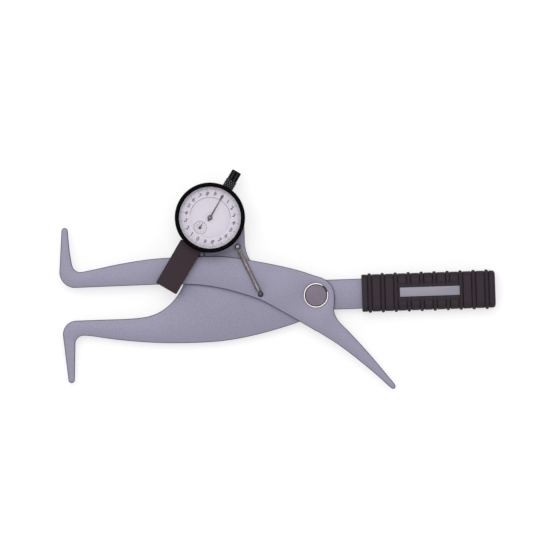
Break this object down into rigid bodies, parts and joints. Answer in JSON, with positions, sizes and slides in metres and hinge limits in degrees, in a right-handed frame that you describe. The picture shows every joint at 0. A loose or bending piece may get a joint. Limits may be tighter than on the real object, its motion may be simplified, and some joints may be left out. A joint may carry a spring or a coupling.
{
  "type": "inside dial caliper",
  "caption": "Lever caliper gauge for inside grooves: flat jaws on a pivot, dial indicator with rack and gear movement, finger trigger, ribbed grip.",
  "frame": {"origin": "middle of the rear face of the pivot's flange, on the axis that the front jaw swings about", "axes": "+X along the tool from the jaws to the grip, +Y up when the dial is read, +Z towards the reader, along the pivot's axis"},
  "size_m": [0.349, 0.1757, 0.0342],
  "materials": {
    "blasted_steel": "satin, sand-blasted",
    "pivot_steel": "satin",
    "ring_steel": "bright",
    "bright_steel": "polished",
    "dark_steel": "dark oxide",
    "spring_steel": "bright drawn wire",
    "blue_steel": "blued",
    "screw_steel": "satin",
    "back_steel": "satin",
    "brass": "satin",
    "grip_plastic": "moulded, fine texture",
    "cover_plastic": "moulded, matte",
    "label_silver": "satin, bare",
    "case_black": "satin",
    "cap_black": "satin, fluted",
    "bezel_black": "semi-gloss",
    "crystal": "clear",
    "dial_white": null,
    "hand_black": "satin"
  },
  "bodies": {
    "frame": {"frame_plate": "blasted_steel", "pivot_stud": "pivot_steel", "snap_ring": "ring_steel", "pivot_washer": "bright_steel", "stop_pin": "bright_steel", "spring_anchor": "bright_steel", "grip": "grip_plastic", "label_plate": "label_silver", "dial_screw_1": "screw_steel", "dial_screw_2": "screw_steel", "dial_screw_3": "screw_steel", "cover_screw_1": "screw_steel", "cover_screw_2": "screw_steel", "spindle_cover": "cover_plastic", "case_back": "back_steel", "dial_case": "case_black", "stem": "bright_steel", "dial_disc": "dial_white", "cap_collar": "cap_black", "dust_cap": "cap_black", "return_spring_post": "brass", "rear_movement_plate": "brass", "front_movement_plate": "brass", "rear_pillar_1": "brass", "rear_pillar_2": "brass", "rear_pillar_3": "brass", "front_pillar_1": "brass", "front_pillar_2": "brass", "front_pillar_3": "brass", "pillar_screw_1": "bright_steel", "pillar_screw_2": "bright_steel", "pillar_screw_3": "bright_steel", "hairspring_stud": "brass"},
    "lever": {"lever_plate": "blasted_steel", "drive_pin": "bright_steel", "spring_pin": "dark_steel", "jaw_spring": "spring_steel"},
    "plunger": {"spindle": "bright_steel", "contact_anvil": "bright_steel", "guide_pin": "bright_steel", "return_spring": "bright_steel"},
    "rack_gear": {"rack_pinion": "bright_steel", "rack_wheel": "brass"},
    "centre_gear": {"centre_pinion": "bright_steel", "main_hand": "hand_black"},
    "counter_gear": {"counter_wheel": "brass", "small_hand": "hand_black", "hairspring": "blue_steel"},
    "turning_bezel": {"bezel": "bezel_black", "crystal": "crystal", "dial_ring": "dial_white"}
  },
  "joints": [
    {"name": "jaw_swing", "type": "hinge", "parent": "frame", "child": "lever", "pos_m": [0, 0, 0], "axis": [0, 0, 1], "range_deg": [0, 12], "stiffness_Nm_per_rad": 0.63, "springref_deg": -42.97, "deforming": ["jaw_spring"]},
    {"name": "plunger_slide", "type": "slide", "parent": "frame", "child": "plunger", "axis": [-0.5, -0.866, 0], "range_m": [0, 0.0224], "deforming": ["return_spring"]},
    {"name": "rack_turn", "type": "hinge", "parent": "frame", "child": "rack_gear", "pos_m": [-0.08584, 0.07386, 0], "axis": [0, 0, 1], "range_deg": [-256, 0]},
    {"name": "centre_turn", "type": "hinge", "parent": "frame", "child": "centre_gear", "pos_m": [-0.0846, 0.06193, 0], "axis": [0, 0, 1], "range_deg": [0, 767]},
    {"name": "counter_turn", "type": "hinge", "parent": "frame", "child": "counter_gear", "pos_m": [-0.09263, 0.05404, 0], "axis": [0, 0, 1], "range_deg": [-280, 0], "deforming": ["hairspring"]},
    {"name": "bezel_turn", "type": "hinge", "parent": "frame", "child": "turning_bezel", "pos_m": [-0.0846, 0.06193, 0], "axis": [0, 0, 1], "continuous": true}
  ],
  "couplings": [
    {"joint": "plunger_slide", "follows": "jaw_swing", "m_per_rad": 0.10642},
    {"joint": "rack_turn", "follows": "jaw_swing", "ratio": -21.284},
    {"joint": "centre_turn", "follows": "jaw_swing", "ratio": 63.852},
    {"joint": "counter_turn", "follows": "jaw_swing", "ratio": -23.219}
  ]
}
